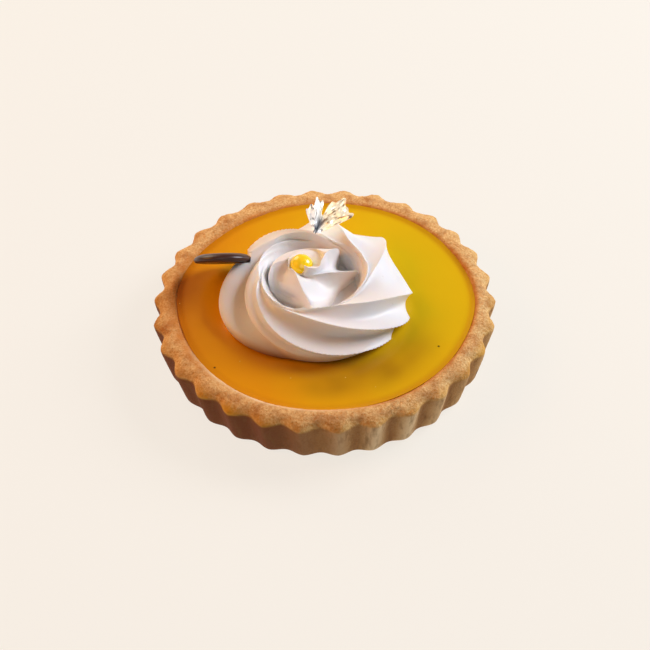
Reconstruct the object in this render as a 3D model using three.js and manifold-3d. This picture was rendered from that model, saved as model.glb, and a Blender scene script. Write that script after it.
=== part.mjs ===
// A round individual lemon tart: a fluted shortcrust shell filled with set lemon curd, topped with
// one rosette of stiff piped cream. A bead of lemon gel sits in the rosette's eye, a plain round of
// dark chocolate is pushed into its left side, and a crumpled scrap of silver leaf stands on its
// back ridge.
//
// Millimetres, +Z up. The origin is the centre of the flat base, and -Y is the front.

import * as THREE from "three";
import { mergeVertices } from "three/addons/utils/BufferGeometryUtils.js";
import Module from "manifold-3d";

const wasm = await Module();
wasm.setup();

// ---- driving dimensions -------------------------------------------------------------------------

// Pastry shell, baked in a 100 mm fluted tin.
const RIM_RADIUS = 50; // to the crowns of the flutes, at the rim's outer edge
const BASE_RADIUS = 47.2; // to the crowns, at the foot of the wall
const WALL_HEIGHT = 14; // outer edge of the rim
const CREST_HEIGHT = 15.8; // top of the rim, which slopes down outwards
const CREST_RADIUS = 45.2;
const MOUTH_RADIUS = 41.9; // inner edge of the rim, where the curd meets it
const MOUTH_CENTRE = new THREE.Vector2(0.5, -0.8); // the rim is thicker at the back left
const FLOOR_THICKNESS = 3;
const FLUTES = 30;
const FLUTE_PHASE = -2.62; // degrees from +X to the crown of the first flute
const FLUTE_DEPTH_RIM = 2.1;
const FLUTE_DEPTH_BASE = 1.4;
const FLUTE_POINT = 0.12; // 0 for a plain wave, 1 for crowns that come to a point
const STEPS_PER_FLUTE = 6;

// Curd.
const CURD_LEVEL = 15;
const CURD_MENISCUS = 0.35; // how far the curd climbs the pastry
const CURD_SEGMENTS = 96;

// Cream. The rosette is one closed turn of ribs round a crater, and a smaller turn, the bud, stands
// in the crater. The section of a turn is followed by its own angle, the swing: 0 on the crest, 90
// where the flank is widest, 90 below zero at the foot of the inner side.
//
// A rib leaves the crest at "start" degrees and winds "lead" degrees anticlockwise by the time its
// swing is 90; with "run" below 1 it leaves almost along the crest. "rim" and "height" are the
// radius and height of its crest, and it bulges out to "reach". "blunt" is 0 for a blade and more
// for a rounded rib. "outside", "inside" and "foot" scale the valley ahead of it on the flank, on
// the inner side and at the foot; with "skew" above 1 it lies nearer to the next rib.
const ROSETTE = {
  centre: new THREE.Vector2(-2.8, 1.1),
  waist: 3.2, // height at which the flank is widest
  innerRadius: 12, // foot of the crater's wall
  innerHeight: 3,
  innerLead: 115, // degrees that a rib winds on its way down inside
  valleys: { crest: 0.14, flank: 0.34, foot: 0.22, inside: 0.24 }, // shares of the half width
  lastSwing: 108,
  shoulder: 1, // below 1 the ribs stay high and then drop steeply
  columns: 96,
  innerRows: 7,
  outerRows: 16,
  ribs: [
    { start: 300.3, lead: 107, run: 0.27, rim: 15.9, reach: 28.1, height: 11.0, inside: 0.6 },
    { start: 361.8, lead: 93, run: 0.26, rim: 15.5, reach: 27.1, height: 11.6 },
    { start: 423.0, lead: 80, run: 0.54, rim: 13.1, reach: 25.5, height: 10.7 },
    {
      start: 481.3, lead: 84, run: 0.58, rim: 15.8, reach: 28.8, height: 12.1,
      outside: 1.15, inside: 0.4, foot: 0.4,
    },
    {
      start: 533.0, lead: 103, run: 0.9, rim: 15.7, reach: 27.7, height: 11.4,
      blunt: 0.8, outside: 0.3, inside: 0.15, foot: 0.3,
    },
    {
      start: 554.0, lead: 105, run: 0.9, rim: 15.7, reach: 29.4, height: 11.3,
      inside: 0.15, foot: 0.9,
    },
    { start: 557.8, lead: 131, run: 0.37, rim: 16.0, reach: 30.0, height: 11.1, inside: 0.2 },
    { start: 592.0, lead: 121, run: 0.24, rim: 17.4, reach: 28.6, height: 11.8, inside: 0.3 },
  ],
};
const BUD = {
  centre: new THREE.Vector2(-6.2, 2.7),
  waist: 2.2,
  innerRadius: 1.6, // bottom of the dimple that holds the gel
  innerHeight: 8.3,
  innerLead: 20,
  valleys: { crest: 0.16, flank: 0.42, foot: 0.4, inside: 0.14 },
  lastSwing: 100,
  shoulder: 0.4,
  columns: 54,
  innerRows: 3,
  outerRows: 10,
  ribs: [
    {
      start: 52.8, lead: 157, run: 0.17, rim: 7.0, reach: 10.5, height: 10.9,
      blunt: 0.1, outside: 1.6, inside: 0.3,
    },
    { start: 165.3, lead: 117, run: 0.12, rim: 3.8, reach: 15.4, height: 12.5, skew: 1.5 },
    { start: 272.7, lead: 93, run: 0.25, rim: 4.1, reach: 16.6, height: 10.9 },
    { start: 299.4, lead: 95, run: 0.12, rim: 4.9, reach: 13.5, height: 13.7 },
  ],
};
const PLAIN_RIB = { blunt: 0.03, outside: 1, inside: 1, foot: 1, skew: 1 };
const INNER_RUN = 0.5;
const VALLEY_POWER = 0.7; // below 1 the ribs narrow to blades
const CLOSE_RIBS = 30; // valleys between ribs that are fewer degrees apart are shallower
const CREST_SPAN = 25; // swing by which a rib's own radius has taken over from the crest line's
const INSIDE_SWING = 45; // swing at which the inner valleys reach their depth
const FLANK_SWING = 60; // swing at which the flank's do
const FOOT_SWING = 110; // swing at which the foot's would

// Gel bead.
const GEL_RADIUS = 3.1;
const GEL_SQUASH = 0.82;
const GEL_CENTRE = new THREE.Vector3(-6.2, 2.7, 26.2);

// Chocolate round, leaning forward over the curd with its right edge in the cream.
const CHOCOLATE_RADIUS = 8.4;
const CHOCOLATE_THICKNESS = 2.6;
const CHOCOLATE_SHOULDER = 3.4; // its upper edge is rounded this far in
const CHOCOLATE_RIM = 0.8; // thickness left at the very edge
const CHOCOLATE_CENTRE = new THREE.Vector3(-29.2, 9.1, 23.2);
const CHOCOLATE_LEAN = -46; // degrees about X
const NOTCH_X = -21.4; // right edge of the dent that it tore in the cream
const NOTCH_RADIUS = 40;
const NOTCH_DEPTH = 9;

// Silver leaf: a fan of two ragged lobes standing on one point. Directions are degrees from +X.
const LEAF_FOOT = new THREE.Vector3(-2.3, 14.2, 26.45);
const LEAF_LEAN = -44; // degrees about X from upright, leaning back
const LEAF_THICKNESS = 0.36;
const LEAF_FIRST = 24;
const LEAF_LAST = 108;
const LEAF_LOBES = [
  { direction: 43, half: 22.5, length: 13 },
  { direction: 80, half: 8.5, length: 11.3 },
  { direction: 97, half: 11.5, length: 9 },
];
const LEAF_GAP = 68; // direction of the gap between the right lobe and the two of the left side
const LEAF_GAP_LENGTH = 6.4; // how far out the lobes are still joined
const LEAF_CREASE = 1.2; // depth of the crumples

const GAP = 0.3; // left between pieces that touch

// ---- helpers ------------------------------------------------------------------------------------

const radians = THREE.MathUtils.degToRad;
const lerp = THREE.MathUtils.lerp;
const smooth = THREE.MathUtils.smoothstep;

// Runs every vertex of a geometry through move(vertex), then joins the vertices that meet, so that
// seams and poles are closed.
function reshape(geometry, move) {
  const position = geometry.getAttribute("position");
  const vertex = new THREE.Vector3();
  for (let i = 0; i < position.count; i++) {
    vertex.fromBufferAttribute(position, i);
    move(vertex, i);
    position.setXYZ(i, vertex.x, vertex.y, vertex.z);
  }
  geometry.deleteAttribute("normal");
  geometry.deleteAttribute("uv");
  return mergeVertices(geometry, 1e-3);
}

// A lathe turned about +Z. profile holds [radius, height] pairs and starts and ends on the axis.
function turned(profile, segments) {
  const points = profile.map(([radius, height]) => new THREE.Vector2(radius, height));
  return new THREE.LatheGeometry(points, segments).rotateX(Math.PI / 2);
}

// A closed geometry as a solid that can be cut and joined.
function solidFrom(geometry) {
  const merged = mergeVertices(geometry, 1e-3);
  return new wasm.Manifold(
    new wasm.Mesh({
      numProp: 3,
      vertProperties: merged.getAttribute("position").array,
      triVerts: new Uint32Array(merged.index.array),
    }),
  );
}

// A solid back as a geometry.
function geometryFrom(solid) {
  const mesh = solid.getMesh();
  const geometry = new THREE.BufferGeometry();
  geometry.setAttribute("position", new THREE.BufferAttribute(mesh.vertProperties, 3));
  geometry.setIndex(new THREE.BufferAttribute(mesh.triVerts, 1));
  return geometry;
}

// A smooth bump of height 1 at the angle centre, width degrees to either side.
function bump(angle, centre, width) {
  const away = Math.abs(((angle - centre + 540) % 360) - 180);
  return away < width ? 0.5 + 0.5 * Math.cos((Math.PI * away) / width) : 0;
}

// ---- pastry shell -------------------------------------------------------------------------------

// How far the wall is pressed in at an angle: 0 on a flute's crown, 1 between two.
function flute(angle) {
  const turn = radians(angle - FLUTE_PHASE) * FLUTES;
  return lerp(0.5 - 0.5 * Math.cos(turn), Math.abs(Math.sin(turn / 2)), FLUTE_POINT);
}

// The rim isn't even: the mouth is a little wide at both sides, and the crest wanders.
function mouthRadius(angle) {
  const centre = Math.cos(radians(angle)) * MOUTH_CENTRE.x + Math.sin(radians(angle)) * MOUTH_CENTRE.y;
  return MOUTH_RADIUS + centre + 0.8 * bump(angle, 0, 30) + 1.3 * bump(angle, 168, 34);
}

function crestHeight(angle) {
  return CREST_HEIGHT + 0.22 * Math.sin(radians(3 * angle + 40)) + 0.16 * Math.sin(radians(7 * angle));
}

function crustGeometry() {
  const foot = 0;
  const edge = 1.2;
  const profile = [
    [0, foot],
    [BASE_RADIUS - edge, foot],
    [BASE_RADIUS, edge],
    [lerp(BASE_RADIUS, RIM_RADIUS, 0.5), WALL_HEIGHT / 2],
    [RIM_RADIUS - 0.2, WALL_HEIGHT - 1],
    [RIM_RADIUS - 0.6, WALL_HEIGHT + 0.2],
    [lerp(CREST_RADIUS, RIM_RADIUS, 0.5), WALL_HEIGHT + 1.3],
    [CREST_RADIUS, CREST_HEIGHT],
    [MOUTH_RADIUS + 0.3, CURD_LEVEL + 0.4],
    [MOUTH_RADIUS, CURD_LEVEL - 0.6],
    [MOUTH_RADIUS - 1, FLOOR_THICKNESS],
    [0, FLOOR_THICKNESS],
  ];
  const rows = profile.length;
  const outer = 6; // rows up to this one belong to the outer wall and the rim's slope
  const fluteShare = [0, 1, 1, 1, 1, 1, 0.45];
  const blank = turned(profile, FLUTES * STEPS_PER_FLUTE);
  return reshape(blank, (vertex, index) => {
    const row = index % rows;
    const radius = Math.hypot(vertex.x, vertex.y);
    if (radius === 0 || row === 0 || row === rows - 1) return;
    const turn = Math.floor(index / rows) / STEPS_PER_FLUTE;
    const angle = (FLUTE_PHASE + (turn * 360) / FLUTES + 360) % 360;
    const rise = THREE.MathUtils.clamp(vertex.z / WALL_HEIGHT, 0, 1);
    let r = radius;
    if (row <= outer) {
      r -= fluteShare[row] * lerp(FLUTE_DEPTH_BASE, FLUTE_DEPTH_RIM, rise) * flute(angle);
    } else if (row >= outer + 2) {
      r += mouthRadius(angle) - MOUTH_RADIUS;
    }
    if (row === outer || row === outer + 1) vertex.z += crestHeight(angle) - CREST_HEIGHT;
    vertex.x = r * Math.cos(radians(angle));
    vertex.y = r * Math.sin(radians(angle));
  });
}

// ---- curd ---------------------------------------------------------------------------------------

function curdGeometry() {
  const profile = [
    [0, FLOOR_THICKNESS + GAP],
    [MOUTH_RADIUS - 1 - 2 * GAP, FLOOR_THICKNESS + GAP],
    [MOUTH_RADIUS - 2 * GAP, CURD_LEVEL + CURD_MENISCUS],
    [MOUTH_RADIUS - 1.8, CURD_LEVEL],
    [0, CURD_LEVEL],
  ];
  return reshape(turned(profile, CURD_SEGMENTS), (vertex) => {
    const radius = Math.hypot(vertex.x, vertex.y);
    if (radius < CREST_RADIUS / 2) return;
    const angle = (THREE.MathUtils.radToDeg(Math.atan2(vertex.y, vertex.x)) + 360) % 360;
    const grown = (radius + mouthRadius(angle) - MOUTH_RADIUS) / radius;
    vertex.x *= grown;
    vertex.y *= grown;
  });
}

// ---- cream --------------------------------------------------------------------------------------

// The direction in which a rib's ridge lies at a swing.
function ridgeAngle(turn, rib, swing) {
  if (swing > 0) return rib.start + rib.lead * (swing / 90) ** rib.run;
  return rib.start - turn.innerLead * (-swing / 90) ** INNER_RUN;
}

// Depth of a turn's valleys at a swing, as a share of the rope's half width.
function valleyDepth({ valleys }, swing) {
  if (swing <= 0) return lerp(valleys.crest, valleys.inside, Math.min(1, -swing / INSIDE_SWING));
  if (swing < FLANK_SWING) return lerp(valleys.crest, valleys.flank, smooth(swing, 0, FLANK_SWING));
  return lerp(valleys.flank, valleys.foot, (swing - FLANK_SWING) / (FOOT_SWING - FLANK_SWING));
}

// How much of that depth the valley ahead of a rib has.
function valleyShare(rib, swing) {
  if (swing <= 0) return lerp(rib.outside, rib.inside, Math.min(1, -swing / CREST_SPAN));
  return lerp(rib.outside, rib.foot, smooth(swing, FLANK_SWING, FOOT_SWING));
}

// The two ribs on either side of a direction at a swing, how far apart they lie there, and the share
// of the way from the one behind to the one ahead.
function ribsBeside(turn, angle, swing) {
  const ridges = turn.ribs.map((rib) => ridgeAngle(turn, rib, swing));
  const away = [...ridges.map((ridge) => ridge - ridges[0]), 360];
  const here = THREE.MathUtils.euclideanModulo(angle - ridges[0], 360);
  const next = away.findIndex((place) => place > here);
  const width = away[next] - away[next - 1];
  return {
    behind: { ...PLAIN_RIB, ...turn.ribs[next - 1] },
    ahead: { ...PLAIN_RIB, ...turn.ribs[next % turn.ribs.length] },
    width,
    share: (here - away[next - 1]) / width,
  };
}

// A turn's sizes in a direction, at a swing: blended between the ribs on either side, and "sunk",
// the share of its half width that the rope has lost there. The crest itself is one even line.
function sectionAt(turn, angle, swing) {
  const { behind, ahead, width, share } = ribsBeside(turn, angle, swing);
  const crest = ribsBeside(turn, angle, 0);
  const crestRim = lerp(crest.behind.rim, crest.ahead.rim, crest.share);
  const ownRim = lerp(behind.rim, ahead.rim, share);
  const blunt = lerp(behind.blunt, ahead.blunt, share);
  const dip = Math.sin(Math.PI * share ** behind.skew);
  const wave = (Math.hypot(dip, blunt) - blunt) ** VALLEY_POWER;
  return {
    rim: lerp(crestRim, ownRim, smooth(swing, 0, CREST_SPAN)),
    reach: lerp(behind.reach, ahead.reach, share),
    height: lerp(behind.height, ahead.height, share),
    sunk: valleyDepth(turn, swing) * valleyShare(behind, swing) * smooth(width, 0, CLOSE_RIBS) * wave,
  };
}

// Radius and height of a turn's surface in a direction, at a swing.
function surfaceAt(turn, angle, swing) {
  const section = sectionAt(turn, angle, swing);
  const outward = swing > 0;
  const size = 1 - section.sunk;
  const width = outward ? section.reach - section.rim : section.rim - turn.innerRadius;
  const low = outward ? turn.waist : turn.innerHeight;
  const rise = Math.cos(radians(swing));
  const fall = Math.sign(rise) * Math.abs(rise) ** turn.shoulder;
  return {
    radius: section.rim + width * Math.sin(radians(swing)) * size,
    height: Math.max(GAP, low + (section.height - low) * fall * size),
  };
}

// One closed turn of ribbed cream. Its rows run from the middle of the hollow over the crest to the
// middle underneath, and lie closer together near the crest.
function turnOfCream(turn) {
  const inner = turn.innerRows;
  const outer = turn.outerRows;
  const swings = [
    ...Array.from({ length: inner }, (_, i) => -90 * (1 - i / inner) ** 1.5),
    ...Array.from({ length: outer + 1 }, (_, i) => turn.lastSwing * (i / outer) ** 1.5),
  ];
  const rows = swings.length + 2;
  const profile = Array.from({ length: rows }, (_, row) => [row === 0 || row === rows - 1 ? 0 : 1, row]);
  return reshape(turned(profile, turn.columns), (vertex, index) => {
    const row = rows - 1 - (index % rows);
    const angle = (360 * (Math.floor(index / rows) % turn.columns)) / turn.columns;
    const middle = { radius: 0, height: row === 0 ? turn.innerHeight : GAP };
    const onRope = row > 0 && row < rows - 1;
    const place = onRope ? surfaceAt(turn, angle, swings[row - 1]) : middle;
    vertex.x = turn.centre.x + place.radius * Math.cos(radians(angle));
    vertex.y = turn.centre.y + place.radius * Math.sin(radians(angle));
    vertex.z = CURD_LEVEL + place.height;
  });
}

function chocolateFrame(geometry, shift) {
  return geometry
    .rotateX(radians(CHOCOLATE_LEAN))
    .translate(CHOCOLATE_CENTRE.x + shift, CHOCOLATE_CENTRE.y, CHOCOLATE_CENTRE.z);
}

function creamGeometry() {
  const slotRadius = CHOCOLATE_RADIUS + GAP;
  const slotHalf = CHOCOLATE_THICKNESS / 2 + GAP;
  const slot = turned([[0, -slotHalf], [slotRadius, -slotHalf], [slotRadius, slotHalf], [0, slotHalf]], 40);
  const dent = turned([[0, 0], [NOTCH_RADIUS, 0], [NOTCH_RADIUS, NOTCH_DEPTH], [0, NOTCH_DEPTH]], 96);
  const dentShift = NOTCH_X - NOTCH_RADIUS - CHOCOLATE_CENTRE.x;
  const gel = reshape(gelGeometry(GEL_RADIUS + GAP), (vertex) => vertex.add(GEL_CENTRE));
  const cuts = [chocolateFrame(slot, 0), chocolateFrame(dent, dentShift), gel];
  let cream = solidFrom(turnOfCream(ROSETTE)).add(solidFrom(turnOfCream(BUD)));
  for (const cut of cuts) cream = cream.subtract(solidFrom(reshape(cut, () => {})));
  return geometryFrom(cream);
}

// ---- small toppings -----------------------------------------------------------------------------

// A flattened bead with a slight point to the front.
function gelGeometry(radius) {
  return reshape(new THREE.SphereGeometry(radius, 20, 12).rotateX(Math.PI / 2), (vertex) => {
    const front = Math.max(0, -vertex.y / radius);
    vertex.y *= 1 + 0.12 * front ** 4;
    vertex.z *= GEL_SQUASH;
  });
}

// A thin round with a flat underside and a rounded upper edge.
function chocolateGeometry() {
  const half = CHOCOLATE_THICKNESS / 2;
  const shoulder = Array.from({ length: 5 }, (_, i) => {
    const angle = (Math.PI / 2) * (i / 4);
    return [
      CHOCOLATE_RADIUS - CHOCOLATE_SHOULDER * (1 - Math.cos(angle)),
      half - (CHOCOLATE_THICKNESS - CHOCOLATE_RIM) * (1 - Math.sin(angle)),
    ];
  });
  const profile = [[0, -half], [CHOCOLATE_RADIUS - 0.5, -half], ...shoulder, [0, half]];
  return reshape(turned(profile, 40), () => {});
}

// Height of the crumples at a direction and distance from the leaf's foot.
function crumple(angle, distance) {
  const across = Math.sin(radians(angle * 11)) + 0.6 * Math.sin(radians(angle * 23 + 50));
  const along = Math.sin(distance * 1.35 + angle * 0.09);
  const fold = bump(angle, LEAF_GAP, 22) * distance * 0.22;
  return LEAF_CREASE * (0.35 * across + 0.4 * along) * Math.min(1, distance / 4) + fold;
}

// How far the leaf reaches in a direction: ragged lobes with a gap between them.
function leafReach(angle) {
  const ragged = 1 + 0.06 * Math.sin(radians(angle * 17)) + 0.04 * Math.sin(radians(angle * 31));
  const lobes = LEAF_LOBES.map(({ direction, half, length }) => {
    const away = Math.abs(angle - direction) / half;
    return away < 1 ? length * (1 - 0.3 * away ** 4) : 0;
  });
  return Math.max(LEAF_GAP_LENGTH, ...lobes) * ragged;
}

// Splits the squares on a box's back along the same diagonals as those on its front, so that a thin
// sheet made from it has the same creases on both faces.
function splitAlike(box) {
  const { index, groups } = box;
  const { start, count } = groups[5];
  for (let i = start; i < start + count; i += 6) {
    const [a, b, d, c] = [0, 1, 2, 4].map((step) => index.getX(i + step));
    [a, b, c, a, c, d].forEach((corner, step) => index.setX(i + step, corner));
  }
  return box;
}

function leafGeometry() {
  const blank = splitAlike(new THREE.BoxGeometry(1, 1, 1, 16, 7, 1));
  return reshape(blank, (vertex) => {
    const angle = lerp(LEAF_FIRST, LEAF_LAST, 0.5 - vertex.x);
    const distance = lerp(0.09, 1, vertex.y + 0.5) * leafReach(angle);
    const side = vertex.z * LEAF_THICKNESS;
    vertex.x = distance * Math.cos(radians(angle));
    vertex.z = distance * Math.sin(radians(angle));
    vertex.y = crumple(angle, distance) - side;
  });
}

// ---- the tart -----------------------------------------------------------------------------------

function piece(name, geometry, color, roughness, metalness = 0) {
  const material = new THREE.MeshStandardMaterial({ color, roughness, metalness });
  const mesh = new THREE.Mesh(geometry, material);
  mesh.name = name;
  return mesh;
}

const crust = piece("crust", crustGeometry(), "#d99a55", 0.85);
const curd = piece("lemon_curd", curdGeometry(), "#dda514", 0.15);
const cream = piece("cream_rosette", creamGeometry(), "#f2eee8", 0.5);

const gel = piece("lemon_gel", gelGeometry(GEL_RADIUS), "#ecbd16", 0.1);
gel.position.copy(GEL_CENTRE);

const chocolate = piece("chocolate_round", chocolateGeometry(), "#46281f", 0.4);
chocolate.position.copy(CHOCOLATE_CENTRE);
chocolate.rotation.x = radians(CHOCOLATE_LEAN);

const leaf = piece("silver_leaf", leafGeometry(), "#d8d6d2", 0.2, 1);
leaf.position.copy(LEAF_FOOT);
leaf.rotation.x = radians(LEAF_LEAN);

const tart = new THREE.Group();
tart.add(crust, curd, cream, gel, chocolate, leaf);

export default tart;
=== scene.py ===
"""Looks of a round individual lemon tart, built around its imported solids.

A fluted shortcrust shell holds set lemon curd. One rosette of piped cream stands on the curd,
with a bead of lemon gel in its eye, a plain round of dark chocolate pushed into its left side
and a crumpled scrap of silver leaf on its back ridge.

Sizes are in millimetres and angles in degrees from +X. The front of the tart is -Y. A piece is
turned into metres once, when it is finished.
"""

from __future__ import annotations

import json
import logging
import math
from dataclasses import dataclass, field, replace
from enum import Enum
from typing import Callable, Mapping, Sequence, Union

import bmesh  # noqa: E402
import bpy  # noqa: E402
from mathutils import Matrix, Vector, noise  # noqa: E402

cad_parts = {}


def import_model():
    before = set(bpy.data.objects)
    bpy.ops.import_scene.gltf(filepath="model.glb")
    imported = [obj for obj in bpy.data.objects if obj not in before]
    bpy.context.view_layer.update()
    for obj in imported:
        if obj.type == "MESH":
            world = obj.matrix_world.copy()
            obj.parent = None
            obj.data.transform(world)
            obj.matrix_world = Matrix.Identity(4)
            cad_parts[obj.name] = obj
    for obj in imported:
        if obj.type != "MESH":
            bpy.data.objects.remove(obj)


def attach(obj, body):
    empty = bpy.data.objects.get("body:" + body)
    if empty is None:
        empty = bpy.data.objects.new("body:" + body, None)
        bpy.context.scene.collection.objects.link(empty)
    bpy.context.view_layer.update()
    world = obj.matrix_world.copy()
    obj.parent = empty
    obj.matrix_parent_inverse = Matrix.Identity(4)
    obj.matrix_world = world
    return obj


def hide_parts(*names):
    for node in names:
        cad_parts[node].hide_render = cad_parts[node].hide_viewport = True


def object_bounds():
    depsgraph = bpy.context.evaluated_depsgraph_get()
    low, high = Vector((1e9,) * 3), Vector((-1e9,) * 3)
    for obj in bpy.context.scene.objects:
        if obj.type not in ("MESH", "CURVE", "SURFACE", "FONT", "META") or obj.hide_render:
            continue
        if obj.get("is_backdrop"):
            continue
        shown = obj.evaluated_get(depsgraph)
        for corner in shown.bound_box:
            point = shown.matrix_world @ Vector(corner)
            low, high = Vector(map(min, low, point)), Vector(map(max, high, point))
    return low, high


LOG = logging.getLogger("lemon_tart")

MM = 0.001
BODY = "root"
GAP = 0.3  # left between pieces that touch
WELD = 1e-4  # points closer than this are one point
SLIVER = 0.02  # edges and faces thinner than this are closed up after solids are joined

CURD_LEVEL = 15.0

Key = Union[str, int]


class Node(Enum):
    """The tart's pieces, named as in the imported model."""

    CRUST = "crust"
    CURD = "lemon_curd"
    CREAM = "cream_rosette"
    GEL = "lemon_gel"
    CHOCOLATE = "chocolate_round"
    LEAF = "silver_leaf"


class Slot(Enum):
    """The record's material slots."""

    SHORTCRUST = "shortcrust"
    CURD = "curd"
    CREAM = "cream"
    GEL = "gel"
    CHOCOLATE = "chocolate"
    LEAF = "leaf"


class Joining(Enum):
    """How one solid is worked into another."""

    ADD = "UNION"
    CUT = "DIFFERENCE"


# ---- numbers and noise --------------------------------------------------------------------------


def lerp(a: float, b: float, share: float) -> float:
    """Returns the value that lies share of the way from a to b."""
    return a + (b - a) * share


def clamp(value: float, low: float = 0.0, high: float = 1.0) -> float:
    """Returns value, kept between low and high."""
    return min(high, max(low, value))


def smooth(value: float, start: float, end: float) -> float:
    """Returns 0 before start, 1 after end and a smooth rise between them."""
    share = clamp((value - start) / (end - start))
    return share * share * (3 - 2 * share)


def turn_between(a: float, b: float) -> float:
    """Returns the smallest angle between two directions, in degrees."""
    return abs((a - b + 540) % 360 - 180)


def bump(angle: float, centre: float, width: float) -> float:
    """Returns a smooth bump of height 1 at centre that ends width degrees to either side."""
    away = turn_between(angle, centre)
    return 0.5 + 0.5 * math.cos(math.pi * away / width) if away < width else 0.0


def rough(point: Vector, grain: float, seed: float = 0.0, octaves: int = 2) -> float:
    """Fractal noise of about -1 to 1.

    Args:
        point: The place, in millimetres.
        grain: Size of the largest lumps, in millimetres.
        seed: Shifts the pattern.
        octaves: How many finer layers are added.

    Returns:
        The noise at the point.
    """
    return noise.fractal(point / grain + Vector((seed, -seed, 2 * seed)), 0.9, 2.1, octaves)


# ---- meshes -------------------------------------------------------------------------------------


def closed_grid(
    columns: int, rows: int, place: Callable[[float, int], Vector]
) -> bmesh.types.BMesh:
    """A closed skin from a grid whose first and last columns meet.

    Args:
        columns: Number of columns round the skin.
        rows: Number of steps from one pole to the other.
        place: Gives a vertex's place from its share of the way round and its row.

    Returns:
        The working mesh, in millimetres, with its seam and poles closed.
    """
    skin = bmesh.new()
    bmesh.ops.create_grid(skin, x_segments=columns, y_segments=rows, size=0.5)
    for vertex in skin.verts:
        vertex.co = place(vertex.co.x + 0.5, round((vertex.co.y + 0.5) * rows))
    bmesh.ops.remove_doubles(skin, verts=skin.verts, dist=WELD)
    bmesh.ops.recalc_face_normals(skin, faces=skin.faces)
    return skin


def turned(profile: Sequence[tuple[float, float]], segments: int) -> bmesh.types.BMesh:
    """A profile spun once round the Z axis.

    Args:
        profile: Radius and height of each point, from axis to axis.
        segments: Number of steps round the axis.

    Returns:
        The working mesh, closed at its poles.
    """
    solid = bmesh.new()
    points = [solid.verts.new((radius, 0, height)) for radius, height in profile]
    edges = [solid.edges.new(pair) for pair in zip(points, points[1:])]
    bmesh.ops.spin(
        solid,
        geom=points + edges,
        axis=(0, 0, 1),
        angle=math.tau,
        steps=segments,
        use_merge=True,
    )
    bmesh.ops.remove_doubles(solid, verts=solid.verts, dist=WELD)
    bmesh.ops.recalc_face_normals(solid, faces=solid.faces)
    return solid


def to_object(skin: bmesh.types.BMesh, name: str) -> bpy.types.Object:
    """Puts a working mesh into the scene as an object, still in millimetres.

    Args:
        skin: The working mesh, which is freed.
        name: Name of the object.

    Returns:
        The new object.
    """
    mesh = bpy.data.meshes.new(name)
    skin.to_mesh(mesh)
    skin.free()
    piece = bpy.data.objects.new(name, mesh)
    bpy.context.scene.collection.objects.link(piece)
    return piece


def evaluated_mesh(piece: bpy.types.Object) -> bpy.types.Mesh:
    """Returns a piece's mesh with its modifiers worked in."""
    depsgraph = bpy.context.evaluated_depsgraph_get()
    return bpy.data.meshes.new_from_object(piece.evaluated_get(depsgraph))


def work_in(piece: bpy.types.Object, tool: bmesh.types.BMesh, joining: Joining) -> None:
    """Adds a solid to a piece or cuts it away, and keeps the result as the piece's mesh.

    Args:
        piece: The piece that changes.
        tool: The solid that is added or cut away; it is freed.
        joining: Whether it is added or cut away.
    """
    other = to_object(tool, "tool")
    modifier = piece.modifiers.new("work", "BOOLEAN")
    modifier.operation = joining.value
    modifier.solver = "MANIFOLD"
    modifier.object = other
    mesh = evaluated_mesh(piece)
    piece.modifiers.clear()
    piece.data = mesh
    bpy.data.objects.remove(other)


def close_slivers(piece: bpy.types.Object) -> None:
    """Closes up the slivers that joining solids leaves, so that each edge has its two faces.

    Args:
        piece: The piece, in millimetres.
    """
    skin = bmesh.new()
    skin.from_mesh(piece.data)
    bmesh.ops.triangulate(skin, faces=skin.faces, quad_method="FIXED")
    bmesh.ops.dissolve_degenerate(skin, edges=skin.edges, dist=SLIVER)
    bmesh.ops.remove_doubles(skin, verts=skin.verts, dist=SLIVER / 10)
    skin.to_mesh(piece.data)
    skin.free()


def finish_piece(
    piece: bpy.types.Object,
    material: bpy.types.Material,
    crease: float = 180.0,
    slot: Slot | None = None,
    replaced: Node | None = None,
) -> bpy.types.Object:
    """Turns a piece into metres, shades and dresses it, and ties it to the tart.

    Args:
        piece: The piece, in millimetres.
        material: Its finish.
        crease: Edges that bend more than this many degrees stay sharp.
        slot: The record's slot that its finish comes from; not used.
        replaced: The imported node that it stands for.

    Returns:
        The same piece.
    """
    work = bmesh.new()
    work.from_mesh(piece.data)
    bmesh.ops.scale(work, vec=(MM, MM, MM), verts=work.verts)
    for face in work.faces:
        face.smooth = crease > 0
    for edge in work.edges:
        edge.smooth = edge.calc_face_angle(0.0) < math.radians(crease)
    work.to_mesh(piece.data)
    work.free()
    piece.data.materials.clear()
    piece.data.materials.append(material)
    if replaced is not None:
        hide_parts(replaced.value)
    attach(piece, BODY)
    LOG.info("%s: %d faces", piece.name, len(piece.data.polygons))
    return piece


def paint(piece: bpy.types.Object, name: str, rule: Callable[[Vector], float]) -> None:
    """Stores a value from 0 to 1 at each vertex, for the piece's finish to read.

    Args:
        piece: The piece, in millimetres.
        name: Name of the attribute.
        rule: Gives the value from a vertex's place.
    """
    layer = piece.data.attributes.new(name, "FLOAT", "POINT")
    for vertex, item in zip(piece.data.vertices, layer.data):
        item.value = clamp(rule(vertex.co))


# ---- finishes -----------------------------------------------------------------------------------


def linear(colour: str) -> tuple[float, float, float, float]:
    """Returns an sRGB hex colour as linear red, green, blue and alpha.

    Args:
        colour: The colour, as hex.

    Returns:
        Its red, green and blue in linear light, and an alpha of 1.
    """
    values = [int(colour[i : i + 2], 16) / 255 for i in (1, 3, 5)]
    r, g, b = (v / 12.92 if v <= 0.04045 else ((v + 0.055) / 1.055) ** 2.4 for v in values)
    return (r, g, b, 1.0)


def per_metre(size: float) -> float:
    """Returns the texture scale that makes a pattern repeat every size millimetres."""
    return 1 / (size * MM)


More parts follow.
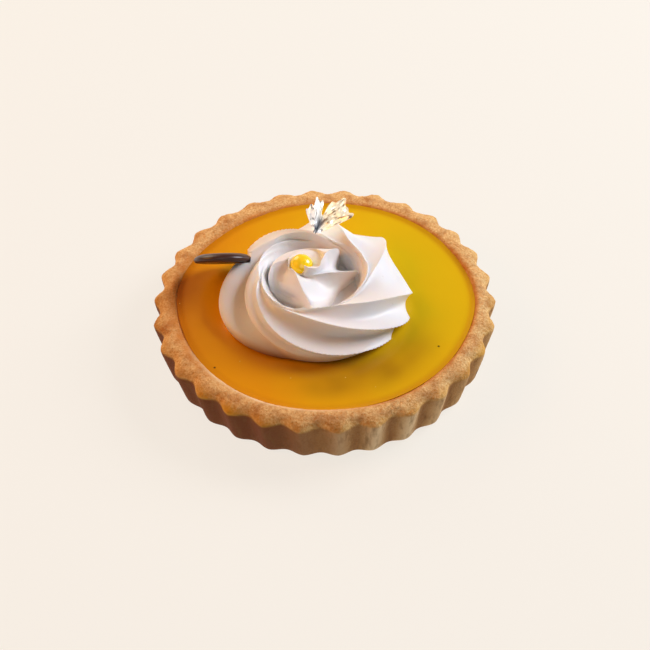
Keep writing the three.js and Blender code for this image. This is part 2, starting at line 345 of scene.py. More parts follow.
def add_node(
    tree: bpy.types.NodeTree,
    kind: str,
    settings: Mapping[Key, object] | None = None,
    links: Mapping[Key, bpy.types.NodeSocket] | None = None,
) -> bpy.types.Node:
    """Adds a shader node with its settings and links.

    Args:
        tree: The node tree that gets it.
        kind: Kind of node.
        settings: The node's own settings, or its inputs' values, by name or number.
        links: The output that feeds each input, by the input's name or number.

    Returns:
        The new node.
    """
    node = tree.nodes.new(kind)
    for key, value in (settings or {}).items():
        if isinstance(key, str) and hasattr(node, key):
            setattr(node, key, value)
        else:
            node.inputs[key].default_value = value
    for key, socket in (links or {}).items():
        tree.links.new(socket, node.inputs[key])
    return node


@dataclass(frozen=True)
class Finish:
    """What every finish shares: a name, and a tree with one principled shader.

    Attributes:
        name: The real material's common name.
    """

    name: str = "finish"

    def surface(self, tree: bpy.types.NodeTree) -> tuple[dict, dict]:
        """Returns the shader's settings and links, and adds the nodes that feed it."""
        raise NotImplementedError

    def build(self) -> bpy.types.Material:
        """Returns the finished material."""
        material = bpy.data.materials.new(self.name)
        material.use_nodes = True
        tree = material.node_tree
        tree.nodes.clear()
        settings, links = self.surface(tree)
        shader = add_node(tree, "ShaderNodeBsdfPrincipled", settings, links)
        add_node(tree, "ShaderNodeOutputMaterial", links={"Surface": shader.outputs[0]})
        return material


@dataclass(frozen=True)
class Shortcrust(Finish):
    """Baked shortcrust: flour, butter and sugar pressed into a tin.

    A dull, sandy crumb. Raised grains are pale, the dips between them browner, and where the crust
    leaned on the tin it baked smoother and darker. Curd that boiled over left an orange stain at
    the inner edge and a golden tinge on the outer one. Painted shade darkens the wall at the front
    left and in the flutes' hollows, and a painted highlight lightens the crowns at the right of the
    front.
    """

    name: str = "baked_shortcrust"
    crumb_pale: str = "#fcd898"
    crumb_tan: str = "#d39146"
    crumb_brown: str = "#b0692c"
    wall: str = "#b48348"
    # painted highlight on the flutes' crowns
    wall_highlight: str = "#f0d6ac"
    # painted shade on the wall, at the front left and in the flutes' hollows
    wall_shade: str = "#70360c"
    streak: str = "#7d5326"
    stained: str = "#d4802a"
    golden: str = "#dd9f28"
    lip: str = "#f0cfa0"
    grain: float = 0.6  # millimetres between grains
    patch: float = 4.0  # millimetres between browner patches
    streak_width: float = 1.6  # millimetres between the streaks down the wall
    streak_length: float = 9.0

    def surface(self, tree: bpy.types.NodeTree) -> tuple[dict, dict]:
        """Returns the shader's settings and links, and adds the nodes that feed it.

        Args:
            tree: The material's node tree.

        Returns:
            The shader's settings, and the outputs that feed its inputs.
        """
        place = add_node(tree, "ShaderNodeTexCoord").outputs["Object"]
        grains = add_node(
            tree,
            "ShaderNodeTexNoise",
            {"Scale": per_metre(self.grain), "Detail": 4.0, "Roughness": 0.65},
            {"Vector": place},
        ).outputs["Fac"]
        patches = add_node(
            tree,
            "ShaderNodeTexNoise",
            {"Scale": per_metre(self.patch), "Detail": 2.0},
            {"Vector": place},
        ).outputs["Fac"]
        grain_share = add_node(
            tree, "ShaderNodeMapRange", {"From Min": 0.32, "From Max": 0.68}, {"Value": grains}
        ).outputs["Result"]
        patch_share = add_node(
            tree,
            "ShaderNodeMapRange",
            {"From Min": 0.45, "From Max": 0.75, "To Max": 0.7},
            {"Value": patches},
        ).outputs["Result"]
        colour = self.mixed(tree, grain_share, self.crumb_tan, self.crumb_pale)
        colour = self.mixed(tree, patch_share, colour, self.crumb_brown)
        # the wall's painted highlight and painted shade are among these tints
        for attribute, tint in (
            ("wall", self.wall),
            ("wall_highlight", self.wall_highlight),
            ("wall_shade", self.wall_shade),
            ("stained", self.stained),
            ("golden", self.golden),
            ("lip", self.lip),
        ):
            share = add_node(
                tree, "ShaderNodeAttribute", {"attribute_name": attribute}
            ).outputs["Fac"]
            colour = self.mixed(tree, share, colour, tint)
        colour = self.mixed(tree, self.streaks(tree, place), colour, self.streak)
        bumps = add_node(
            tree,
            "ShaderNodeBump",
            {"Strength": 0.7, "Distance": 0.35 * MM},
            {"Height": grains},
        ).outputs["Normal"]
        return (
            {"Roughness": 0.75, "IOR": 1.45, "Specular IOR Level": 0.2},
            {"Base Color": colour, "Normal": bumps},
        )

    def streaks(
        self, tree: bpy.types.NodeTree, place: bpy.types.NodeSocket
    ) -> bpy.types.NodeSocket:
        """Adds the browner streaks that the tin leaves down the wall.

        Args:
            tree: The node tree.
            place: The point's own coordinates.

        Returns:
            The socket of how much of the streaks' colour shows.
        """
        drawn_out = add_node(
            tree,
            "ShaderNodeVectorMath",
            {"operation": "MULTIPLY", 1: (1, 1, self.streak_width / self.streak_length)},
            {0: place},
        ).outputs[0]
        lines = add_node(
            tree,
            "ShaderNodeTexNoise",
            {"Scale": per_metre(self.streak_width), "Detail": 3.0, "Roughness": 0.6},
            {"Vector": drawn_out},
        ).outputs["Fac"]
        share = add_node(
            tree,
            "ShaderNodeMapRange",
            {"From Min": 0.48, "From Max": 0.72, "To Max": 0.9},
            {"Value": lines},
        ).outputs["Result"]
        wall = add_node(tree, "ShaderNodeAttribute", {"attribute_name": "wall"}).outputs["Fac"]
        return add_node(
            tree, "ShaderNodeMath", {"operation": "MULTIPLY"}, {0: share, 1: wall}
        ).outputs[0]

    def mixed(
        self,
        tree: bpy.types.NodeTree,
        share: bpy.types.NodeSocket,
        first: bpy.types.NodeSocket | str,
        second: str,
    ) -> bpy.types.NodeSocket:
        """Adds a mix of two colours.

        Args:
            tree: The node tree.
            share: How much of the second colour shows.
            first: The first colour, as a socket or as hex.
            second: The second colour, as hex.

        Returns:
            The mixed colour's socket.
        """
        settings: dict[Key, object] = {"data_type": "RGBA", 7: linear(second)}
        links: dict[Key, bpy.types.NodeSocket] = {0: share}
        if isinstance(first, str):
            settings[6] = linear(first)
        else:
            links[6] = first
        return add_node(tree, "ShaderNodeMix", settings, links).outputs[2]


@dataclass(frozen=True)
class SetCurd(Finish):
    """Lemon curd, set in the shell under a thin clear glaze: wet, deep and slightly cloudy."""

    name: str = "glazed_lemon_curd"
    yellow: str = "#e8c00b"
    # orange: painted shade, most at the left of the curd
    orange: str = "#e99d06"
    # painted shade beside the rim
    brown: str = "#bd6204"
    # deep: painted shadow of the cream on the curd in front of it
    deep: str = "#a87806"
    # bubbles: partly their own paler colour, partly painted glint
    bubble_pale_glint: str = "#f2d268"
    speck_dark: str = "#3d1c06"
    cloud: float = 14.0  # millimetres between paler clouds
    bubble_gap: float = 3.4  # millimetres between the places where a bubble may be caught
    bubble_radius: float = 0.24
    speck_radius: float = 0.45
    specks: tuple[tuple[float, float], ...] = ((-30.8, -26.2), (31.6, -20.6))

    def surface(self, tree: bpy.types.NodeTree) -> tuple[dict, dict]:
        """Returns the shader's settings and links, and adds the nodes that feed it.

        Args:
            tree: The material's node tree.

        Returns:
            The shader's settings, and the outputs that feed its inputs.
        """
        place = add_node(tree, "ShaderNodeTexCoord").outputs["Object"]
        clouds = add_node(
            tree,
            "ShaderNodeTexNoise",
            {"Scale": per_metre(self.cloud), "Detail": 3.0, "Roughness": 0.5},
            {"Vector": place},
        ).outputs["Fac"]
        # painted shade turns the curd orange towards the left; the clouds added to it are its own
        # tone
        depth = add_node(tree, "ShaderNodeAttribute", {"attribute_name": "orange"}).outputs["Fac"]
        cloudy = add_node(
            tree,
            "ShaderNodeMath",
            {"operation": "MULTIPLY_ADD", 1: 0.35},
            {0: clouds, 2: depth},
        ).outputs[0]
        share = add_node(
            tree, "ShaderNodeMapRange", {"From Min": 0.175, "From Max": 1.175}, {"Value": cloudy}
        ).outputs["Result"]
        colour = add_node(
            tree,
            "ShaderNodeMix",
            {"data_type": "RGBA", 6: linear(self.yellow), 7: linear(self.orange)},
            {0: share},
        ).outputs[2]
        # painted shade beside the rim
        rim = add_node(tree, "ShaderNodeAttribute", {"attribute_name": "brown"}).outputs["Fac"]
        colour = add_node(
            tree, "ShaderNodeMix", {"data_type": "RGBA", 7: linear(self.brown)}, {0: rim, 6: colour}
        ).outputs[2]
        # painted shadow of the cream
        low = add_node(tree, "ShaderNodeAttribute", {"attribute_name": "deep"}).outputs["Fac"]
        colour = add_node(
            tree, "ShaderNodeMix", {"data_type": "RGBA", 7: linear(self.deep)}, {0: low, 6: colour}
        ).outputs[2]
        # bubbles, partly painted glint
        colour = add_node(
            tree,
            "ShaderNodeMix",
            {"data_type": "RGBA", 7: linear(self.bubble_pale_glint)},
            {0: self.bubbles(tree, place), 6: colour},
        ).outputs[2]
        for x, y in self.specks:
            colour = self.with_speck(tree, place, colour, Vector((x, y, CURD_LEVEL)))
        return (
            {
                "Roughness": 0.22,
                "IOR": 1.42,
                "Coat Weight": 0.35,
                "Coat Roughness": 0.06,
                "Coat IOR": 1.4,
            },
            {"Base Color": colour},
        )

    def bubbles(
        self, tree: bpy.types.NodeTree, place: bpy.types.NodeSocket
    ) -> bpy.types.NodeSocket:
        """Adds the tiny bubbles caught in the glaze, in some of the cells of a pattern: pale dots
        that are partly the bubbles' own colour and partly a painted glint.

        Args:
            tree: The node tree.
            place: The point's own coordinates.

        Returns:
            The socket of how much of a bubble shows.
        """
        cells = add_node(
            tree, "ShaderNodeTexVoronoi", {"Scale": per_metre(self.bubble_gap)}, {"Vector": place}
        ).outputs
        size = self.bubble_radius / self.bubble_gap
        dot = add_node(
            tree,
            "ShaderNodeMapRange",
            {"From Min": size, "From Max": 0.6 * size, "To Max": 0.85},
            {"Value": cells["Distance"]},
        ).outputs["Result"]
        chosen = add_node(
            tree, "ShaderNodeMath", {"operation": "GREATER_THAN", 1: 0.7}, {0: cells["Color"]}
        ).outputs[0]
        return add_node(
            tree, "ShaderNodeMath", {"operation": "MULTIPLY"}, {0: dot, 1: chosen}
        ).outputs[0]

    def with_speck(
        self,
        tree: bpy.types.NodeTree,
        place: bpy.types.NodeSocket,
        colour: bpy.types.NodeSocket,
        spot: Vector,
    ) -> bpy.types.NodeSocket:
        """Adds one dark speck of vanilla.

        Args:
            tree: The node tree.
            place: The point's own coordinates.
            colour: The curd's colour there.
            spot: The speck's place, in millimetres.

        Returns:
            The socket of the colour with the speck in it.
        """
        away = add_node(
            tree, "ShaderNodeVectorMath", {"operation": "DISTANCE", 1: tuple(spot * MM)}, {0: place}
        ).outputs["Value"]
        share = add_node(
            tree,
            "ShaderNodeMapRange",
            {"From Min": self.speck_radius * MM, "From Max": 0.3 * self.speck_radius * MM},
            {"Value": away},
        ).outputs["Result"]
        return add_node(
            tree,
            "ShaderNodeMix",
            {"data_type": "RGBA", 7: linear(self.speck_dark)},
            {0: share, 6: colour},
        ).outputs[2]


@dataclass(frozen=True)
class PipedCream(Finish):
    """Whipped cream, piped through a star tip: smooth, fatty and slightly translucent."""

    name: str = "whipped_cream"
    white: str = "#f5f3f1"
    # painted shade at the cream's foot, warm with light from the curd
    foot_shade: str = "#96602c"
    pit: float = 3.2  # millimetres between air bubbles that burst on the surface

    def surface(self, tree: bpy.types.NodeTree) -> tuple[dict, dict]:
        """Returns the shader's settings and links, and adds the nodes that feed it.

        Args:
            tree: The material's node tree.

        Returns:
            The shader's settings, and the outputs that feed its inputs.
        """
        place = add_node(tree, "ShaderNodeTexCoord").outputs["Object"]
        cells = add_node(
            tree, "ShaderNodeTexVoronoi", {"Scale": per_metre(self.pit)}, {"Vector": place}
        ).outputs["Distance"]
        pits = add_node(
            tree, "ShaderNodeMapRange", {"From Min": 0.03, "From Max": 0.1}, {"Value": cells}
        ).outputs["Result"]
        bumps = add_node(
            tree, "ShaderNodeBump", {"Strength": 0.5, "Distance": 0.2 * MM}, {"Height": pits}
        ).outputs["Normal"]
        # painted shade at the foot
        foot = add_node(tree, "ShaderNodeAttribute", {"attribute_name": "foot_shade"}).outputs["Fac"]
        colour = add_node(
            tree,
            "ShaderNodeMix",
            {"data_type": "RGBA", 6: linear(self.white), 7: linear(self.foot_shade)},
            {0: foot},
        ).outputs[2]
        return (
            {
                "Roughness": 0.42,
                "IOR": 1.45,
                "Subsurface Weight": 0.35,
                "Subsurface Radius": (1.0, 0.75, 0.5),
                "Subsurface Scale": 1.2 * MM,
            },
            {"Base Color": colour, "Normal": bumps},
        )


@dataclass(frozen=True)
class LemonGel(Finish):
    """Set lemon gel: clear yellow jelly with a wet skin."""

    name: str = "lemon_gel"
    yellow: str = "#f1c80c"
    cloudy: str = "#f6d83a"
    cloud: float = 2.5  # millimetres between paler clouds

    def surface(self, tree: bpy.types.NodeTree) -> tuple[dict, dict]:
        """Returns the shader's settings and links, and adds the nodes that feed it.

        Args:
            tree: The material's node tree.

        Returns:
            The shader's settings, and the outputs that feed its inputs.
        """
        place = add_node(tree, "ShaderNodeTexCoord").outputs["Object"]
        clouds = add_node(
            tree,
            "ShaderNodeTexNoise",
            {"Scale": per_metre(self.cloud), "Detail": 2.0},
            {"Vector": place},
        ).outputs["Fac"]
        bumps = add_node(
            tree, "ShaderNodeBump", {"Strength": 0.25, "Distance": 0.4 * MM}, {"Height": clouds}
        ).outputs["Normal"]
        colour = add_node(
            tree,
            "ShaderNodeMix",
            {"data_type": "RGBA", 6: linear(self.yellow), 7: linear(self.cloudy)},
            {0: clouds},
        ).outputs[2]
        return (
            {
                "Roughness": 0.12,
                "IOR": 1.4,
                "Subsurface Weight": 0.5,
                "Subsurface Radius": (1.0, 0.6, 0.1),
                "Subsurface Scale": 1.5 * MM,
                "Coat Weight": 0.5,
                "Coat Roughness": 0.05,
                # painted glow: the gel gives off some yellow light of its own
                "Emission Color": linear(self.yellow),
                "Emission Strength": 0.3,
            },
            {"Base Color": colour, "Normal": bumps},
        )


@dataclass(frozen=True)
class DarkChocolate(Finish):
    """Tempered dark chocolate, cast thin and handled: a satin brown with faint smears."""

    name: str = "tempered_chocolate"
    dark: str = "#3a1f17"
    light: str = "#523128"
    smear: float = 4.0  # millimetres between smears

    def surface(self, tree: bpy.types.NodeTree) -> tuple[dict, dict]:
        """Returns the shader's settings and links, and adds the nodes that feed it.

        Args:
            tree: The material's node tree.

        Returns:
            The shader's settings, and the outputs that feed its inputs.
        """
        place = add_node(tree, "ShaderNodeTexCoord").outputs["Object"]
        smears = add_node(
            tree,
            "ShaderNodeTexNoise",
            {"Scale": per_metre(self.smear), "Detail": 5.0},
            {"Vector": place},
        ).outputs["Fac"]
        colour = add_node(
            tree,
            "ShaderNodeMix",
            {"data_type": "RGBA", 6: linear(self.dark), 7: linear(self.light)},
            {0: smears},
        ).outputs[2]
        bumps = add_node(
            tree, "ShaderNodeBump", {"Strength": 0.15, "Distance": 0.1 * MM}, {"Height": smears}
        ).outputs["Normal"]
        return (
            {"Roughness": 0.34, "IOR": 1.48},
            {"Base Color": colour, "Normal": bumps},
        )


@dataclass(frozen=True)
class SilverLeaf(Finish):
    """Beaten silver leaf, far thinner than paper, so it crumples into bright facets."""

    name: str = "silver_leaf"
    silver: str = "#f4f3f2"
    # painted warm reflection on the right lobe
    warm_reflection: str = "#fff0d2"
    # painted shade in the creases and the middle, cool at the left and warm at the right
    dark_cool: str = "#3c4250"
    dark_warm: str = "#6e4a1c"
    wrinkle: float = 1.6  # millimetres between the finest wrinkles

    def surface(self, tree: bpy.types.NodeTree) -> tuple[dict, dict]:
        """Returns the shader's settings and links, and adds the nodes that feed it.

        Args:
            tree: The material's node tree.

        Returns:
            The shader's settings, and the outputs that feed its inputs.
        """
        place = add_node(tree, "ShaderNodeTexCoord").outputs["Object"]
        # painted warm reflection
        share = add_node(tree, "ShaderNodeAttribute", {"attribute_name": "warm_reflection"}).outputs["Fac"]
        colour = add_node(
            tree,
            "ShaderNodeMix",
            {"data_type": "RGBA", 6: linear(self.silver), 7: linear(self.warm_reflection)},
            {0: share},
        ).outputs[2]
        dark = add_node(
            tree,
            "ShaderNodeMix",
            {"data_type": "RGBA", 6: linear(self.dark_cool), 7: linear(self.dark_warm)},
            {0: share},
        ).outputs[2]
        # painted shade
        crease_shade = add_node(
            tree, "ShaderNodeAttribute", {"attribute_name": "crease_shade"}
        ).outputs["Fac"]
        colour = add_node(
            tree, "ShaderNodeMix", {"data_type": "RGBA"}, {0: crease_shade, 6: colour, 7: dark}
        ).outputs[2]
        wrinkles = add_node(
            tree,
            "ShaderNodeTexNoise",
            {"Scale": per_metre(self.wrinkle), "Detail": 2.0},
            {"Vector": place},
        ).outputs["Fac"]
        bumps = add_node(
            tree, "ShaderNodeBump", {"Strength": 0.4, "Distance": 0.2 * MM}, {"Height": wrinkles}
        ).outputs["Normal"]
        return (
            # painted glow: the leaf gives off light in its own colour, so that its facets look
            # bright
            {"Metallic": 0.45, "Roughness": 0.2, "Emission Strength": 0.5},
            {"Base Color": colour, "Emission Color": colour, "Normal": bumps},
        )


@dataclass(frozen=True)
class PaleTable(Finish):
    """Matt off-white board under the tart."""

    name: str = "pale_board"
    colour: str = "#f5efe6"
    shade: str = "#6b6964"
    glow: float = 0.88

    def surface(self, tree: bpy.types.NodeTree) -> tuple[dict, dict]:
        """Returns the shader's settings and links, and adds the nodes that feed it.

        Args:
            tree: The material's node tree.

        Returns:
            The shader's settings, and the outputs that feed its inputs.
        """
        return (
            {
                "Base Color": linear(self.shade),
                "Roughness": 0.9,
                "Specular IOR Level": 0.0,
                "Emission Color": linear(self.colour),
                "Emission Strength": self.glow,
            },
            {},
        )


# ---- pastry shell -------------------------------------------------------------------------------


@dataclass(frozen=True)
class ProfilePoint:
    """One point of the shell's section.

    Attributes:
        radius: Distance from the axis.
        height: Height above the table.
        flute: Share of the flutes' depth that shows here.
        mouth: Share of the mouth's unevenness that shows here.
        crumb: Depth of the crumb.
    """

    radius: float
    height: float
    flute: float = 0.0
    mouth: float = 0.0
    crumb: float = 0.0

    def towards(self, other: ProfilePoint, share: float) -> ProfilePoint:
        """Returns the point that lies share of the way to another.

        Args:
            other: The other point.
            share: How far it lies from this one to the other, from 0 to 1.

        Returns:
            The one in between.
        """
        return ProfilePoint(
            lerp(self.radius, other.radius, share),
            lerp(self.height, other.height, share),
            lerp(self.flute, other.flute, share),
            lerp(self.mouth, other.mouth, share),
            lerp(self.crumb, other.crumb, share),
        )


@dataclass
class PastryShell:
    """The fluted shortcrust shell, baked in a 100 mm tin."""

    rim_radius: float = 50.0
    base_radius: float = 47.2
    wall_height: float = 14.0
    crest_height: float = 15.8
    crest_radius: float = 45.2
    mouth_radius: float = 41.9
    mouth_x: float = 0.5
    mouth_y: float = -0.8
    floor: float = 3.0
    flutes: int = 30
    flute_phase: float = -2.62
    flute_depth_rim: float = 2.1
    flute_depth_base: float = 1.4
    flute_point: float = 0.12  # 0 for a plain wave, 1 for crowns that come to a point
    steps_per_flute: int = 24
    row_step: float = 0.5
    finish: Shortcrust = field(default_factory=Shortcrust)

    def flute(self, angle: float) -> float:
        """Returns how far the wall is pressed in: 0 on a crown, 1 between two."""
        turn = math.radians(angle - self.flute_phase) * self.flutes
        return lerp(0.5 - 0.5 * math.cos(turn), abs(math.sin(turn / 2)), self.flute_point)

    def mouth_offset(self, angle: float) -> float:
        """Returns how far the mouth stands out from its mean radius.

        Args:
            angle: The direction.

        Returns:
            Millimetres, outward.
        """
        turn = math.radians(angle)
        centre = math.cos(turn) * self.mouth_x + math.sin(turn) * self.mouth_y
        return centre + 0.8 * bump(angle, 0, 30) + 1.3 * bump(angle, 168, 34)

    def crest_offset(self, angle: float) -> float:
        """Returns how far the crest stands above its mean height."""
        turn = math.radians(angle)
        return 0.22 * math.sin(3 * turn + math.radians(40)) + 0.16 * math.sin(7 * turn)

    def profile(self) -> list[ProfilePoint]:
        """Returns the section from the middle of the base, round the rim, to the floor."""
        edge = self.wall_height
        corners = [
            ProfilePoint(self.base_radius - 1.3, 0, 0.8),
            ProfilePoint(self.base_radius - 0.1, 0.3, 1, 0, 0.05),
            ProfilePoint(lerp(self.base_radius, self.rim_radius, 0.5), edge / 2, 1, 0, 0.06),
            ProfilePoint(self.rim_radius - 0.1, edge - 0.7, 1, 0, 0.08),
            ProfilePoint(self.rim_radius - 0.4, edge + 0.15, 1, 0, 0.16),
            ProfilePoint(lerp(self.crest_radius, self.rim_radius, 0.5), edge + 1.35, 0.5, 0, 0.2),
            ProfilePoint(self.crest_radius, self.crest_height + 0.1, 0, 0, 0.2),
            ProfilePoint(self.mouth_radius + 0.8, CURD_LEVEL + 0.75, 0, 1, 0.32),
            ProfilePoint(self.mouth_radius, CURD_LEVEL - 0.3, 0, 1, 0.32),
            ProfilePoint(self.mouth_radius - 0.2, CURD_LEVEL - 2, 0, 1, 0),
            ProfilePoint(self.mouth_radius - 1, self.floor, 0, 1, 0),
        ]
        for _ in range(2):
            rounded = [corners[0]]
            for a, b in zip(corners, corners[1:]):
                rounded += [a.towards(b, 0.25), a.towards(b, 0.75)]
            corners = rounded + [corners[-1]]
        rows = [ProfilePoint(0, 0), corners[0]]
        for a, b in zip(corners, corners[1:]):
            length = math.hypot(b.radius - a.radius, b.height - a.height)
            steps = max(1, round(length / self.row_step))
            rows += [a.towards(b, (i + 1) / steps) for i in range(steps)]
        return rows + [ProfilePoint(0, self.floor)]

    def place(self, rows: Sequence[ProfilePoint], share: float, row: int) -> Vector:
        """Places a vertex of the shell.

        Args:
            rows: The section.
            share: Share of the way round.
            row: Number of the section's point.

        Returns:
            The vertex's place.
        """
        point = rows[row]
        angle = (self.flute_phase + 360 * share) % 360
        rise = clamp(point.height / self.wall_height)
        depth = lerp(self.flute_depth_base, self.flute_depth_rim, rise)
        radius = point.radius - point.flute * depth * self.flute(angle)
        radius += point.mouth * self.mouth_offset(angle)
        height = point.height
        if point.radius > 1 and point.height > self.wall_height:
            height += self.crest_offset(angle) * smooth(point.height, self.wall_height, CURD_LEVEL)
        turn = math.radians(angle)
        spot = Vector((radius * math.cos(turn), radius * math.sin(turn), height))
        if point.crumb > 0:
            out = Vector((math.cos(turn), math.sin(turn), 0.8)).normalized()
            spot += out * point.crumb * rough(spot, 1.1, octaves=3)
            spot += out * min(0.25, point.crumb) * 1.2 * rough(spot, 7.0, seed=3)
        return spot

    def build(self) -> bpy.types.Object:
        """Returns the finished shell."""
        rows = self.profile()
        columns = self.flutes * self.steps_per_flute
        skin = closed_grid(columns, len(rows) - 1, lambda u, row: self.place(rows, u, row))
        piece = to_object(skin, "shortcrust_shell")
        paint(piece, "wall", self.wall_share)
        # painted highlight on the wall
        paint(piece, "wall_highlight", self.wall_highlight_share)
        # painted shade on the wall
        paint(piece, "wall_shade", self.wall_shade_share)
        paint(piece, "stained", self.stain_share)
        paint(piece, "golden", self.golden_share)
        paint(piece, "lip", self.lip_share)
        material = self.finish.build()
        return finish_piece(piece, material, crease=180, slot=Slot.SHORTCRUST, replaced=Node.CRUST)

    def wall_share(self, spot: Vector) -> float:
        """Returns 1 where the crust baked against the tin."""
        return 0.75 * (1 - smooth(spot.z, self.wall_height - 0.8, self.wall_height + 0.1))

    def wall_highlight_share(self, spot: Vector) -> float:
        """Returns the painted highlight on the flutes' crowns: most at the right of the front.

        Args:
            spot: A place on the piece, in millimetres.

        Returns:
            The share, from 0 to 1.
        """
        angle = math.degrees(math.atan2(spot.y, spot.x)) % 360
        # painted highlight: the crowns are lighter, most where light from the right strikes them
        crown = (1 - self.flute(angle)) ** 1.5
        return crown * (0.8 * bump(angle, 291, 34) + 0.2) * self.wall_share(spot)

    def wall_shade_share(self, spot: Vector) -> float:
        """Returns how much painted shade darkens the wall: most at the front left and in the
        hollows.

        Args:
            spot: A place on the piece, in millimetres.

        Returns:
            The share, from 0 to 1.
        """
        angle = math.degrees(math.atan2(spot.y, spot.x)) % 360
        # painted shade: dark at the front left, which faces away from the light, and in each
        # flute's hollow
        dark = smooth(angle, 120, 190) * (1 - smooth(angle, 245, 292))
        groove = 0.55 * self.flute(angle) ** 2
        return 0.95 * max(dark, groove) * self.wall_share(spot) / 0.75

    def stain_share(self, spot: Vector) -> float:
        """Returns how much curd has stained the crust beside the mouth.

        Args:
            spot: A place on the piece, in millimetres.

        Returns:
            The share, from 0 to 1.
        """
        angle = math.degrees(math.atan2(spot.y, spot.x)) % 360
        radius = math.hypot(spot.x, spot.y) - self.mouth_offset(angle)
        left = bump(angle, 190, 60)
        near = 1 - smooth(radius, self.mouth_radius + 0.4, self.mouth_radius + lerp(2.0, 5.5, left))
        front = bump(angle, 250, 50)
        return near * lerp(0.9, 0.3, front) * (0.8 + 0.4 * rough(spot, 4.0, seed=9))

    def golden_share(self, spot: Vector) -> float:
        """Returns how golden the outer edge is.

        Args:
            spot: A place on the piece, in millimetres.

        Returns:
            The share, from 0 to 1.
        """
        angle = math.degrees(math.atan2(spot.y, spot.x)) % 360
        radius = math.hypot(spot.x, spot.y)
        outer = smooth(radius, 46.5, 49.2) * smooth(
            spot.z, self.wall_height - 1.2, self.wall_height
        )
        place = max(bump(angle, 237, 40), 0.8 * bump(angle, 335, 25), 0.35)
        return outer * place * (0.7 + 0.5 * rough(spot, 4.0, seed=5))

    def lip_share(self, spot: Vector) -> float:
        """Returns how pale the inner lip is, which shows along the front.

        Args:
            spot: A place on the piece, in millimetres.

        Returns:
            The share, from 0 to 1.
        """
        angle = math.degrees(math.atan2(spot.y, spot.x)) % 360
        radius = math.hypot(spot.x, spot.y) - self.mouth_offset(angle)
        ring = smooth(radius, self.mouth_radius - 0.4, self.mouth_radius + 0.5)
        ring *= 1 - smooth(radius, self.mouth_radius + 0.9, self.mouth_radius + 2.0)
        return ring * bump(angle, 243, 55) * (0.75 + 0.5 * rough(spot, 3.0, seed=7))


# ---- curd ---------------------------------------------------------------------------------------


@dataclass
class CurdFilling:
    """The set curd, with a low meniscus where it climbs the pastry.

    Its edge lies just inside the pastry's inner face, so that no gap shows between the two.
    """

    shell: PastryShell
    meniscus: float = 0.35
    meniscus_width: float = 2.0
    sunk_in: float = 0.45  # how far the edge lies inside the pastry
    taper: float = 1.7  # how much nearer to the axis the edge of the underside is
    segments: int = 256
    rings: int = 60
    finish: SetCurd = field(default_factory=SetCurd)

    def place(self, share: float, row: int) -> Vector:
        """Places a vertex: the rings cover the top, then two rows close the underside.

        Args:
            share: Share of the way round.
            row: Number of the ring.

        Returns:
            The vertex's place.
        """
        angle = 360 * share
        turn = math.radians(angle)
        reach = self.shell.mouth_radius + self.shell.mouth_offset(angle) + self.sunk_in
        if row <= self.rings:
            part = (row / self.rings) ** 0.8
            radius = reach * part
            climb = self.meniscus * smooth(radius, reach - self.meniscus_width, reach) ** 2
            spot = Vector((radius * math.cos(turn), radius * math.sin(turn), CURD_LEVEL))
            spot.z += climb + 0.05 * rough(spot, 9.0, seed=2)
            return spot
        low = self.shell.floor + GAP
        radius = reach - self.taper if row == self.rings + 1 else 0.0
        return Vector((radius * math.cos(turn), radius * math.sin(turn), low))

    def orange_shade_share(self, spot: Vector) -> float:
        """Returns how much painted shade turns the curd orange: most at the left, least at the
        right and back, and a little more at the front.

        Args:
            spot: A place on the piece, in millimetres.

        Returns:
            The share, from 0 to 1.
        """
        across = smooth(spot.x, 28, -38)
        front = 0.25 * smooth(spot.y, -10, -40)
        return across + front

    def rim_shade_share(self, spot: Vector) -> float:
        """Returns how much painted shade browns the curd, in a band beside the left rim and faintly
        all round.

        Args:
            spot: A place on the piece, in millimetres.

        Returns:
            The share, from 0 to 1.
        """
        angle = math.degrees(math.atan2(spot.y, spot.x)) % 360
        radius = math.hypot(spot.x, spot.y) - self.shell.mouth_offset(angle)
        band = smooth(radius, self.shell.mouth_radius - 9, self.shell.mouth_radius)
        edge = smooth(radius, self.shell.mouth_radius - 2.5, self.shell.mouth_radius)
        return 0.5 * band * bump(angle, 180, 60) + 0.35 * edge

    def cream_shadow_share(self, spot: Vector) -> float:
        """Returns the painted shadow that the cream casts on the curd, in a band in front of it.

        Args:
            spot: A place on the piece, in millimetres.

        Returns:
            The share, from 0 to 1.
        """
        angle = math.degrees(math.atan2(spot.y, spot.x)) % 360
        radius = math.hypot(spot.x, spot.y)
        band = smooth(radius, 22, 29) * (1 - smooth(radius, 34, 41))
        return 0.8 * band * bump(angle, 290, 60) * (0.8 + 0.5 * rough(spot, 11.0, seed=12))

    def build(self) -> bpy.types.Object:
        """Returns the finished curd."""
        piece = to_object(closed_grid(self.segments, self.rings + 2, self.place), "set_curd")
        # painted shade
        paint(piece, "orange", self.orange_shade_share)
        # painted shade beside the rim
        paint(piece, "brown", self.rim_shade_share)
        # painted shadow of the cream
        paint(piece, "deep", self.cream_shadow_share)
        return finish_piece(
            piece, self.finish.build(), crease=60, slot=Slot.CURD, replaced=Node.CURD
        )


# ---- cream --------------------------------------------------------------------------------------


CREST_SPAN = 25  # swing by which a rib's own radius has taken over from the crest line's
INSIDE_SWING = 45  # swing at which the inner valleys reach their depth
FLANK_SWING = 60  # swing at which the flank's do
FOOT_SWING = 110  # swing at which the foot's would


